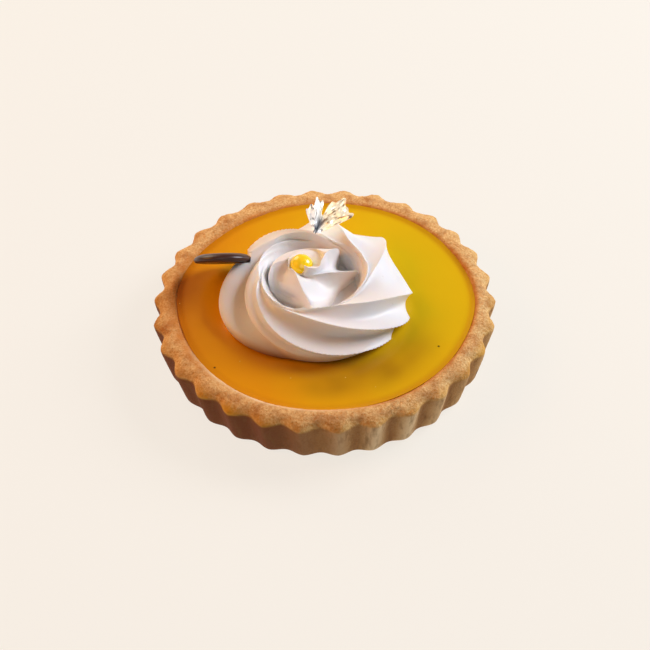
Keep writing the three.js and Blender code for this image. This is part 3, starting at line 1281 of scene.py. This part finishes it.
@dataclass(frozen=True)
class Rib:
    """One rib of a turn of piped cream.

    Attributes:
        start: Direction in which it crosses the crest.
        lead: Degrees that it winds anticlockwise from there to the widest part of the flank.
        run: Below 1 it winds along the crest first and turns downhill later.
        rim: Radius of its crest.
        reach: Radius that it bulges out to.
        height: Height of its crest above the curd.
        blunt: 0 for a blade, 1 for a round rib between sharp valleys.
        crisp: 0 where the crest is round, up to 1 where it is folded to an edge.
        outside: Depth of the valley ahead of it on the flank, 1 being the usual depth.
        inside: The same on the inner side.
        foot: The same at the foot.
        skew: Above 1 that valley lies nearer to the next rib.
    """

    start: float
    lead: float
    run: float
    rim: float
    reach: float
    height: float
    blunt: float = 0.0
    crisp: float = 0.0
    outside: float = 1.0
    inside: float = 1.0
    foot: float = 1.0
    skew: float = 1.0

    def towards(self, other: Rib, share: float) -> Rib:
        """Returns the rib that lies share of the way to another.

        Args:
            other: The other rib.
            share: How far it lies from this one to the other, from 0 to 1.

        Returns:
            The one in between.
        """
        return Rib(
            lerp(self.start, other.start, share),
            lerp(self.lead, other.lead, share),
            lerp(self.run, other.run, share),
            lerp(self.rim, other.rim, share),
            lerp(self.reach, other.reach, share),
            lerp(self.height, other.height, share),
            lerp(self.blunt, other.blunt, share),
            lerp(self.crisp, other.crisp, share),
        )

    def valley_share(self, swing: float) -> float:
        """Returns how much of the usual depth the valley ahead of it has at a swing angle.

        Args:
            swing: The swing angle.

        Returns:
            The share, 1 being the usual depth.
        """
        if swing <= 0:
            return lerp(self.outside, self.inside, min(1, -swing / CREST_SPAN))
        return lerp(self.outside, self.foot, smooth(swing, FLANK_SWING, FOOT_SWING))


@dataclass
class CreamTurn:
    """One closed turn of ribbed cream, round a hollow middle.

    The section is followed by its own angle, the swing: 0 on the crest, 90 where the flank is
    widest and 90 below zero at the foot of the inner side.
    """

    centre_x: float
    centre_y: float
    ribs: tuple[Rib, ...]
    waist: float
    inner_radius: float
    inner_height: float
    inner_lead: float
    valley_crest: float
    valley_flank: float
    valley_foot: float
    valley_inside: float
    last_swing: float
    columns: int = 420
    inner_rows: int = 30
    outer_rows: int = 66
    inner_run: float = 0.5
    shoulder: float = 1.0  # below 1 the ribs stay high and then drop steeply
    valley_power: float = 0.7
    edge: float = 0.03  # how far a blade's edge is rounded
    inner_crisp: float = 0.6  # how sharply the inner side leaves the crest
    close: float = 30.0  # valleys between ribs that are fewer degrees apart are shallower

    def ridge_angle(self, rib: Rib, swing: float) -> float:
        """Returns the direction in which a rib's ridge lies at a swing angle.

        Args:
            rib: The rib.
            swing: The swing angle.

        Returns:
            The direction, in degrees.
        """
        if swing > 0:
            return rib.start + rib.lead * (swing / 90) ** rib.run
        return rib.start - self.inner_lead * (-swing / 90) ** self.inner_run

    def ribs_beside(self, angle: float, swing: float) -> tuple[Rib, Rib, float, float]:
        """Finds the ribs on either side of a direction, at a swing angle.

        Args:
            angle: The direction.
            swing: The swing angle.

        Returns:
            The rib behind, the rib ahead, how many degrees apart they lie there, and the share of
            the way from the first to the second.
        """
        ridges = [self.ridge_angle(rib, swing) for rib in self.ribs]
        turns = [ridge - ridges[0] for ridge in ridges] + [360.0]
        turn = (angle - ridges[0]) % 360
        first = max(i for i in range(len(self.ribs)) if turns[i] <= turn)
        width = turns[first + 1] - turns[first]
        ahead = self.ribs[(first + 1) % len(self.ribs)]
        return self.ribs[first], ahead, width, (turn - turns[first]) / width

    def rib_at(self, angle: float, swing: float) -> tuple[Rib, float]:
        """Finds the rib in a direction, at a swing angle.

        Args:
            angle: The direction.
            swing: The swing angle.

        Returns:
            The rib there, and the depth of the valley beside it there, from 0 on a ridge to 1.
        """
        behind, ahead, width, share = self.ribs_beside(angle, swing)
        rib = behind.towards(ahead, share)
        crest_behind, crest_ahead, _, crest_share = self.ribs_beside(angle, 0)
        crest_rim = lerp(crest_behind.rim, crest_ahead.rim, crest_share)
        own = smooth(swing, 0, CREST_SPAN)
        turn = math.pi * share**behind.skew
        blade = (math.hypot(math.sin(turn), self.edge) - self.edge) ** self.valley_power
        wave = lerp(blade, 1 - abs(math.cos(turn)), rib.blunt)
        deep = behind.valley_share(swing) * smooth(width, 0, self.close)
        return replace(rib, rim=lerp(crest_rim, rib.rim, own)), deep * wave

    def valley_depth(self, swing: float) -> float:
        """Returns the valleys' depth at a swing angle, as a share of the rope's half width.

        Args:
            swing: The swing angle.

        Returns:
            The share.
        """
        if swing <= 0:
            return lerp(self.valley_crest, self.valley_inside, min(1, -swing / INSIDE_SWING))
        if swing < FLANK_SWING:
            return lerp(self.valley_crest, self.valley_flank, smooth(swing, 0, FLANK_SWING))
        below = (swing - FLANK_SWING) / (FOOT_SWING - FLANK_SWING)
        return lerp(self.valley_flank, self.valley_foot, below)

    def place(self, share: float, row: int) -> Vector:
        """Places a vertex of the turn.

        Args:
            share: Share of the way round.
            row: Its row, from the middle of the hollow over the crest to the middle underneath.

        Returns:
            The vertex's place.
        """
        last = self.inner_rows + self.outer_rows + 2
        if row in (0, last):
            height = self.inner_height if row == 0 else GAP
            return Vector((self.centre_x, self.centre_y, CURD_LEVEL + height))
        if row <= self.inner_rows:
            swing = -90 * (1 - (row - 1) / self.inner_rows) ** 1.5
        else:
            swing = self.last_swing * ((row - self.inner_rows - 1) / self.outer_rows) ** 1.5
        angle = 360 * share
        rib, valley = self.rib_at(angle, swing)
        size = 1 - self.valley_depth(swing) * valley
        outward = swing > 0
        width = rib.reach - rib.rim if outward else rib.rim - self.inner_radius
        low = self.waist if outward else self.inner_height
        lean = math.radians(swing)
        radius = rib.rim + width * math.sin(lean) * size
        fall = math.copysign(abs(math.cos(lean)) ** self.shoulder, math.cos(lean))
        if swing < 90:
            crisp = rib.crisp if outward else self.inner_crisp
            fall = lerp(fall, 1 - abs(math.sin(lean)), crisp)
        height = max(GAP, low + (rib.height - low) * fall * size)
        turn = math.radians(angle)
        x = self.centre_x + radius * math.cos(turn)
        y = self.centre_y + radius * math.sin(turn)
        return Vector((x, y, CURD_LEVEL + height))

    def solid(self) -> bmesh.types.BMesh:
        """Returns the turn as a closed working mesh."""
        return closed_grid(self.columns, self.inner_rows + self.outer_rows + 2, self.place)


OUTER_RIBS = (
    Rib(300.3, 107, 0.27, 15.9, 28.1, 11.0, inside=0.6),
    Rib(361.8, 93, 0.26, 15.5, 27.1, 11.6),
    Rib(423.0, 80, 0.54, 13.1, 25.5, 10.7),
    Rib(481.3, 84, 0.58, 15.8, 28.8, 12.1, 0.95, 0.5, outside=2.3, inside=0.4, foot=0.4),
    Rib(533.0, 103, 0.90, 15.7, 27.7, 11.4, 1.0, 0.6, outside=0.3, inside=0.15, foot=0.3),
    Rib(554.0, 105, 0.90, 15.7, 29.4, 11.3, crisp=0.5, inside=0.15, foot=0.9),
    Rib(557.8, 131, 0.37, 16.0, 30.0, 11.1, inside=0.2),
    Rib(592.0, 121, 0.24, 17.4, 28.6, 11.8, inside=0.3),
)

BUD_RIBS = (
    Rib(52.8, 157, 0.17, 7.0, 10.5, 10.9, blunt=0.1, outside=1.6, inside=0.3),
    Rib(165.3, 117, 0.12, 3.8, 15.4, 12.5, skew=1.5),
    Rib(272.7, 93, 0.25, 4.1, 16.6, 10.9),
    Rib(299.4, 95, 0.12, 4.9, 13.5, 13.7),
)


@dataclass
class LemonGelBead:
    """The bead of gel in the rosette's eye, with a slight point to the front."""

    radius: float = 3.1
    squash: float = 0.82
    x: float = -6.2
    y: float = 2.7
    z: float = 26.2
    finish: LemonGel = field(default_factory=LemonGel)

    def solid(self, grow: float = 0.0) -> bmesh.types.BMesh:
        """Returns the bead as a working mesh.

        Args:
            grow: Millimetres added to its radius.

        Returns:
            The bead, in its place.
        """
        bead = bmesh.new()
        radius = self.radius + grow
        bmesh.ops.create_uvsphere(bead, u_segments=48, v_segments=32, radius=radius)
        for vertex in bead.verts:
            front = max(0.0, -vertex.co.y / radius)
            wobble = 1 + 0.03 * rough(vertex.co, 3.0, seed=4)
            vertex.co.y *= 1 + 0.12 * front**4
            vertex.co.z *= self.squash
            vertex.co *= wobble
        bmesh.ops.translate(bead, vec=(self.x, self.y, self.z), verts=bead.verts)
        return bead

    def build(self) -> bpy.types.Object:
        """Returns the finished bead."""
        piece = to_object(self.solid(), "gel_bead")
        return finish_piece(
            piece, self.finish.build(), crease=180, slot=Slot.GEL, replaced=Node.GEL
        )


@dataclass
class ChocolateRound:
    """A thin cast round, leaning forward over the curd with its right edge in the cream."""

    radius: float = 8.4
    thickness: float = 2.6
    shoulder: float = 3.4
    edge: float = 0.8
    x: float = -29.2
    y: float = 9.1
    z: float = 23.2
    lean: float = -46.0
    finish: DarkChocolate = field(default_factory=DarkChocolate)

    def placed(self, solid: bmesh.types.BMesh, shift: float = 0.0) -> bmesh.types.BMesh:
        """Leans a working mesh as the round leans and moves it to the round's place.

        Args:
            solid: The working mesh, made round the Z axis.
            shift: Millimetres that it lies further right.

        Returns:
            The same working mesh.
        """
        turn = Matrix.Rotation(math.radians(self.lean), 3, "X")
        bmesh.ops.rotate(solid, matrix=turn, verts=solid.verts)
        bmesh.ops.translate(solid, vec=(self.x + shift, self.y, self.z), verts=solid.verts)
        return solid

    def solid(self) -> bmesh.types.BMesh:
        """Returns the round as a working mesh, in its place."""
        half = self.thickness / 2
        profile = [(0.0, -half), (self.radius - 1.2, -half), (self.radius - 0.5, -half + 0.12)]
        for i in range(13):
            turn = math.pi / 2 * i / 12
            radius = self.radius - self.shoulder * (1 - math.cos(turn))
            height = half - (self.thickness - self.edge) * (1 - math.sin(turn))
            profile.append((radius, height))
        return self.placed(turned([*profile, (0.0, half)], 96))

    def build(self) -> bpy.types.Object:
        """Returns the finished round."""
        piece = to_object(self.solid(), "chocolate_disc")
        return finish_piece(
            piece, self.finish.build(), crease=50, slot=Slot.CHOCOLATE, replaced=Node.CHOCOLATE
        )


@dataclass
class CreamRosette:
    """The piped rosette: an outer turn of eight ribs, and a bud of four in its crater."""

    gel: LemonGelBead
    chocolate: ChocolateRound
    notch_x: float = -21.4  # its right edge
    notch_radius: float = 40.0
    notch_depth: float = 9.0
    finish: PipedCream = field(default_factory=PipedCream)
    outer: CreamTurn = field(
        default_factory=lambda: CreamTurn(
            centre_x=-2.8,
            centre_y=1.1,
            ribs=OUTER_RIBS,
            waist=3.2,
            inner_radius=12.0,
            inner_height=3.0,
            inner_lead=115.0,
            valley_crest=0.14,
            valley_flank=0.34,
            valley_foot=0.22,
            valley_inside=0.24,
            last_swing=108.0,
        )
    )
    bud: CreamTurn = field(
        default_factory=lambda: CreamTurn(
            centre_x=-6.2,
            centre_y=2.7,
            ribs=BUD_RIBS,
            waist=2.2,
            inner_radius=1.6,
            inner_height=8.3,
            inner_lead=20.0,
            valley_crest=0.16,
            valley_flank=0.42,
            valley_foot=0.4,
            valley_inside=0.14,
            last_swing=100.0,
            shoulder=0.4,
            inner_crisp=0.0,
            columns=240,
            inner_rows=12,
            outer_rows=48,
        )
    )

    def build(self) -> bpy.types.Object:
        """Returns the finished rosette."""
        piece = to_object(self.outer.solid(), "piped_rosette")
        work_in(piece, self.bud.solid(), Joining.ADD)
        work_in(piece, self.slot(), Joining.CUT)
        work_in(piece, self.dent(), Joining.CUT)
        work_in(piece, self.gel.solid(GAP), Joining.CUT)
        close_slivers(piece)
        # painted shade at the foot
        paint(piece, "foot_shade", self.foot_shade_share)
        return finish_piece(
            piece, self.finish.build(), crease=38, slot=Slot.CREAM, replaced=Node.CREAM
        )

    def foot_shade_share(self, spot: Vector) -> float:
        """Returns how much painted shade, warmed by light from the curd, darkens the cream's foot
        at the front left.

        Args:
            spot: A place on the piece, in millimetres.

        Returns:
            The share, from 0 to 1.
        """
        angle = math.degrees(math.atan2(spot.y, spot.x)) % 360
        low = 1 - smooth(spot.z, CURD_LEVEL + 0.4, CURD_LEVEL + 4.5)
        return 0.95 * low * bump(angle, 238, 45)

    def slot(self) -> bmesh.types.BMesh:
        """Returns the room that the chocolate takes in the cream."""
        radius = self.chocolate.radius + GAP
        half = self.chocolate.thickness / 2 + GAP
        profile = [(0.0, -half), (radius, -half), (radius, half), (0.0, half)]
        return self.chocolate.placed(turned(profile, 72))

    def dent(self) -> bmesh.types.BMesh:
        """Returns the dent that the chocolate tore as it was pushed in."""
        radius = self.notch_radius
        profile = [(0.0, 0.0), (radius, 0.0), (radius, self.notch_depth), (0.0, self.notch_depth)]
        shift = self.notch_x - radius - self.chocolate.x
        return self.chocolate.placed(turned(profile, 240), shift)


# ---- silver leaf --------------------------------------------------------------------------------


@dataclass(frozen=True)
class Lobe:
    """One lobe of the leaf.

    Attributes:
        direction: Where it points, in the leaf's own plane.
        half: Degrees that it spreads to either side.
        length: How far it reaches from the foot.
    """

    direction: float
    half: float
    length: float


@dataclass
class LeafScrap:
    """A scrap of silver leaf: a fan of ragged lobes, standing on one point.

    Directions are in the leaf's own plane, from its right, and distances are from the point.
    """

    x: float = -2.3
    y: float = 14.2
    z: float = 26.45
    lean: float = -44.0
    thickness: float = 0.12
    first: float = 24.0
    last: float = 108.0
    lobes: tuple[Lobe, ...] = (Lobe(43, 22.5, 13.0), Lobe(80, 8.5, 11.3), Lobe(97, 11.5, 9.0))
    joined: float = 6.4
    gap: float = 68.0  # direction of the gap between the lobes, where the leaf is folded
    crease: float = 1.2  # depth of the broad crumples
    facet: float = 2.6  # size of the sharp ones
    facet_depth: float = 1.3
    point: float = 0.09  # share of its reach at which the leaf begins
    columns: int = 48
    rows: int = 16
    finish: SilverLeaf = field(default_factory=SilverLeaf)

    def reach(self, angle: float) -> float:
        """Returns how far the leaf reaches in a direction.

        Args:
            angle: The direction.

        Returns:
            Millimetres from the point.
        """
        turn = math.radians(angle)
        ragged = 1 + 0.06 * math.sin(17 * turn) + 0.04 * math.sin(31 * turn)
        longest = self.joined
        for lobe in self.lobes:
            away = abs(angle - lobe.direction) / lobe.half
            if away < 1:
                longest = max(longest, lobe.length * (1 - 0.3 * away**4))
        return longest * ragged

    def crumple(self, angle: float, distance: float) -> float:
        """Returns the height of the crumples.

        Args:
            angle: Direction from the foot, in the leaf's plane.
            distance: Distance from the foot.

        Returns:
            How far the leaf stands out of its plane.
        """
        turn = math.radians(angle)
        across = math.sin(11 * turn) + 0.6 * math.sin(23 * turn + math.radians(50))
        along = math.sin(distance * 1.35 + angle * 0.09)
        fold = bump(angle, self.gap, 22) * distance * 0.22
        broad = self.crease * (0.35 * across + 0.4 * along) * min(1, distance / 4) + fold
        spot = Vector((distance * math.cos(turn), distance * math.sin(turn), 0))
        sharp = abs(rough(spot, self.facet, seed=6, octaves=1))
        return broad + self.facet_depth * sharp * min(1, distance / 3)

    def crease_shade_share(self, spot: Vector) -> float:
        """Returns the painted shade on the leaf: along its creases and low between the lobes.

        Args:
            spot: A place on the piece, in millimetres.

        Returns:
            The share, from 0 to 1.
        """
        away = spot - Vector((self.x, self.y, self.z))
        low = 1 - smooth(away.length, 4.5, 7.0)
        middle = bump(math.degrees(math.atan2(away.z * math.sqrt(2), away.x)), 62, 24)
        crease = 1 - smooth(abs(rough(spot, 3.0, seed=11, octaves=1)), 0.02, 0.09)
        return max(0.95 * low * middle, crease)

    def build(self) -> bpy.types.Object:
        """Returns the finished scrap."""
        sheet = bmesh.new()
        bmesh.ops.create_grid(sheet, x_segments=self.columns, y_segments=self.rows, size=0.5)
        for vertex in sheet.verts:
            angle = lerp(self.first, self.last, 0.5 - vertex.co.x)
            distance = lerp(self.point, 1, vertex.co.y + 0.5) * self.reach(angle)
            turn = math.radians(angle)
            height = self.crumple(angle, distance)
            vertex.co = (distance * math.cos(turn), height, distance * math.sin(turn))
        bmesh.ops.recalc_face_normals(sheet, faces=sheet.faces)
        bmesh.ops.solidify(sheet, geom=sheet.faces[:], thickness=self.thickness)
        bmesh.ops.recalc_face_normals(sheet, faces=sheet.faces)
        lean = Matrix.Rotation(math.radians(self.lean), 3, "X")
        bmesh.ops.rotate(sheet, matrix=lean, verts=sheet.verts)
        bmesh.ops.translate(sheet, vec=(self.x, self.y, self.z), verts=sheet.verts)
        piece = to_object(sheet, "leaf_scrap")
        # painted warm reflection on the right lobe
        paint(piece, "warm_reflection", lambda spot: smooth(spot.x, self.x + 1, self.x + 4))
        # painted shade in the creases and the middle
        paint(piece, "crease_shade", self.crease_shade_share)
        return finish_piece(
            piece, self.finish.build(), crease=8, slot=Slot.LEAF, replaced=Node.LEAF
        )


# ---- table, lights and camera -------------------------------------------------------------------


@dataclass(frozen=True)
class Softbox:
    """A square studio light.

    Attributes:
        azimuth: Direction from the tart to it.
        elevation: Its angle above the table.
        distance: Metres to it.
        size: Metres across.
        power: Watts.
        colour: Its colour, as hex.
        gloss_only: Whether it is a dim card that shows only as a reflection.
    """

    azimuth: float
    elevation: float
    distance: float
    size: float
    power: float
    colour: str
    gloss_only: bool = False

    def build(self, name: str) -> bpy.types.Object:
        """Returns the light, aimed at the tart.

        Args:
            name: The light's name.

        Returns:
            The light.
        """
        lamp = bpy.data.lights.new(name, "AREA")
        lamp.size = self.size
        lamp.energy = self.power
        lamp.color = linear(self.colour)[:3]
        box = bpy.data.objects.new(name, lamp)
        flat = math.cos(math.radians(self.elevation))
        away = Vector(
            (
                flat * math.cos(math.radians(self.azimuth)),
                flat * math.sin(math.radians(self.azimuth)),
                math.sin(math.radians(self.elevation)),
            )
        )
        box.location = away * self.distance + Vector((0, 0, CURD_LEVEL * MM))
        box.rotation_euler = away.to_track_quat("Z", "Y").to_euler()
        box.visible_diffuse = not self.gloss_only
        bpy.context.scene.collection.objects.link(box)
        return box


@dataclass
class Studio:
    """The pale table, its soft light and the camera."""

    table_half: float = 3.0
    sky: str = "#f6f4f2"
    sky_strength: float = 0.08
    elevation: float = 46.05
    roll: float = -1.648
    distance: float = 0.3603
    aim_x: float = 0.000023
    aim_y: float = -0.010095
    aim_z: float = 0.014
    focal: float = 69.82
    sensor: float = 36.0
    boxes: tuple[tuple[str, Softbox], ...] = (
        ("key_right", Softbox(22, 33, 0.75, 0.4, 6.1, "#f1f4ff")),
        ("light_back", Softbox(125, 26, 0.8, 0.4, 2.3, "#fff0d4")),
        ("fill_left", Softbox(182, 36, 0.8, 0.4, 2.9, "#ffa640")),
        ("card_front", Softbox(270, 52, 0.7, 0.5, 1.6, "#fff8ee", gloss_only=True)),
    )

    def build(self) -> None:
        """Adds the table, the lights and the camera."""
        board = bmesh.new()
        bmesh.ops.create_grid(board, x_segments=1, y_segments=1, size=self.table_half)
        table = to_object(board, "table")
        table.data.materials.append(PaleTable().build())
        table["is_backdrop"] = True
        world = bpy.data.worlds.new("studio")
        world.use_nodes = True
        backdrop = world.node_tree.nodes["Background"]
        backdrop.inputs["Color"].default_value = linear(self.sky)
        backdrop.inputs["Strength"].default_value = self.sky_strength
        bpy.context.scene.world = world
        for name, box in self.boxes:
            box.build(name)
        self.camera()
        bpy.context.scene.view_settings.view_transform = "Standard"

    def camera(self) -> None:
        """Adds the camera at the photograph's angle."""
        lens = bpy.data.cameras.new("camera")
        lens.sensor_width = self.sensor
        lens.lens = self.focal
        lens.clip_start = 0.01
        camera = bpy.data.objects.new("camera", lens)
        high = math.radians(self.elevation)
        turn = math.radians(self.roll)
        back = Vector((0, -math.cos(high), math.sin(high)))
        right = Vector((1, 0, 0))
        up = Vector((0, math.sin(high), math.cos(high)))
        rolled_up = math.cos(turn) * up - math.sin(turn) * right
        rolled_right = math.cos(turn) * right + math.sin(turn) * up
        pose = Matrix((rolled_right, rolled_up, back)).transposed().to_4x4()
        pose.translation = Vector((self.aim_x, self.aim_y, self.aim_z)) + back * self.distance
        camera.matrix_world = pose
        bpy.context.scene.collection.objects.link(camera)
        bpy.context.scene.camera = camera


# ---- the tart -----------------------------------------------------------------------------------


def corners(box: object) -> list[list[float]]:
    """Returns a box's two corners as plain lists."""
    return [[float(value) for value in corner] for corner in box]


def main() -> None:
    """Builds the tart and its studio."""
    logging.basicConfig(level=logging.INFO, format="%(name)s: %(message)s")
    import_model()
    packed = corners(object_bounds())
    shell = PastryShell()
    gel = LemonGelBead()
    chocolate = ChocolateRound()
    shell.build()
    CurdFilling(shell).build()
    CreamRosette(gel, chocolate).build()
    gel.build()
    chocolate.build()
    LeafScrap().build()
    Studio().build()
    json.dumps({"cad": packed, "visual": corners(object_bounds())})


if __name__ == "__main__":
    main()
